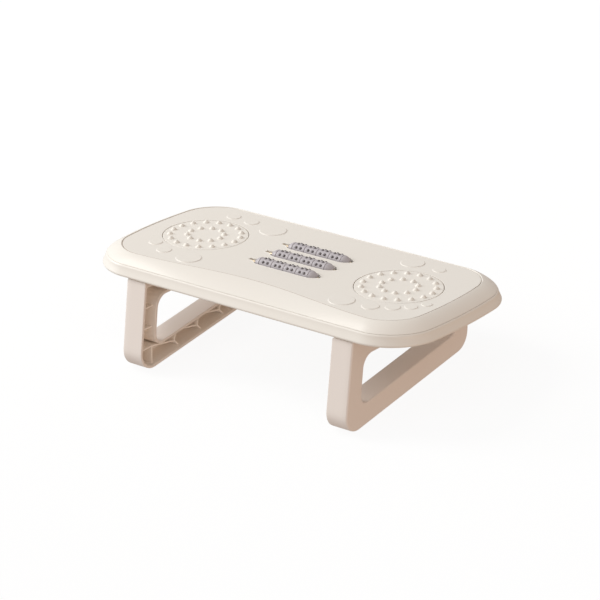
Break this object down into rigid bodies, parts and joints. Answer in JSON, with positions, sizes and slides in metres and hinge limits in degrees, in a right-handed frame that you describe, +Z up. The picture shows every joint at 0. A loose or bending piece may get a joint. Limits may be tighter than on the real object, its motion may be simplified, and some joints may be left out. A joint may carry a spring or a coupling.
{
  "type": "folding massage footstool",
  "caption": "Sloped folding footstool with nubbed massage pads, studded foot rollers and loop legs that fold flat under the top.",
  "frame": {"origin": "on the floor, at the middle of the box that holds the whole stool", "axes": "+Z up; X along the long side; -Y towards the raised long edge, so the top slopes down towards +Y"},
  "size_m": [0.3996, 0.2158, 0.1125],
  "materials": {
    "cream_plastic": "satin moulded",
    "leg_plastic": "satin moulded",
    "grey_plastic": "matt moulded",
    "steel": "plain",
    "rubber": "matt"
  },
  "bodies": {
    "top": {"cover": "cream_plastic", "tray": "cream_plastic", "pad_left": "cream_plastic", "pad_right": "cream_plastic", "axle_front": "steel", "axle_middle": "steel", "axle_rear": "steel", "screw_1": "steel", "screw_2": "steel", "screw_3": "steel", "screw_4": "steel", "screw_5": "steel", "screw_6": "steel", "screw_7": "steel", "screw_8": "steel"},
    "roller_front": {"drum_front_1": "grey_plastic", "drum_front_2": "grey_plastic", "drum_front_3": "grey_plastic", "drum_front_4": "grey_plastic", "cone_front_left": "grey_plastic", "cone_front_right": "grey_plastic"},
    "roller_middle": {"drum_middle_1": "grey_plastic", "drum_middle_2": "grey_plastic", "drum_middle_3": "grey_plastic", "drum_middle_4": "grey_plastic", "cone_middle_left": "grey_plastic", "cone_middle_right": "grey_plastic"},
    "roller_rear": {"drum_rear_1": "grey_plastic", "drum_rear_2": "grey_plastic", "drum_rear_3": "grey_plastic", "drum_rear_4": "grey_plastic", "cone_rear_left": "grey_plastic", "cone_rear_right": "grey_plastic"},
    "leg_frame_left": {"leg_left": "leg_plastic", "pin_left_front": "steel", "pin_left_rear": "steel", "foot_left_front": "rubber", "foot_left_rear": "rubber"},
    "leg_frame_right": {"leg_right": "leg_plastic", "pin_right_front": "steel", "pin_right_rear": "steel", "foot_right_front": "rubber", "foot_right_rear": "rubber"}
  },
  "joints": [
    {"name": "spin_front", "type": "hinge", "parent": "top", "child": "roller_front", "pos_m": [0.004, -0.01283, 0.10154], "axis": [1, 0, 0], "continuous": true},
    {"name": "spin_middle", "type": "hinge", "parent": "top", "child": "roller_middle", "pos_m": [0.004, 0.01338, 0.09763], "axis": [1, 0, 0], "continuous": true},
    {"name": "spin_rear", "type": "hinge", "parent": "top", "child": "roller_rear", "pos_m": [0.004, 0.03959, 0.09371], "axis": [1, 0, 0], "continuous": true},
    {"name": "fold_left", "type": "hinge", "parent": "top", "child": "leg_frame_left", "pos_m": [-0.117, 0.00818, 0.07636], "axis": [0, -0.989, 0.1478], "range_deg": [0, 90]},
    {"name": "fold_right", "type": "hinge", "parent": "top", "child": "leg_frame_right", "pos_m": [0.117, 0.00818, 0.07636], "axis": [0, 0.989, -0.1478], "range_deg": [0, 90]}
  ]
}
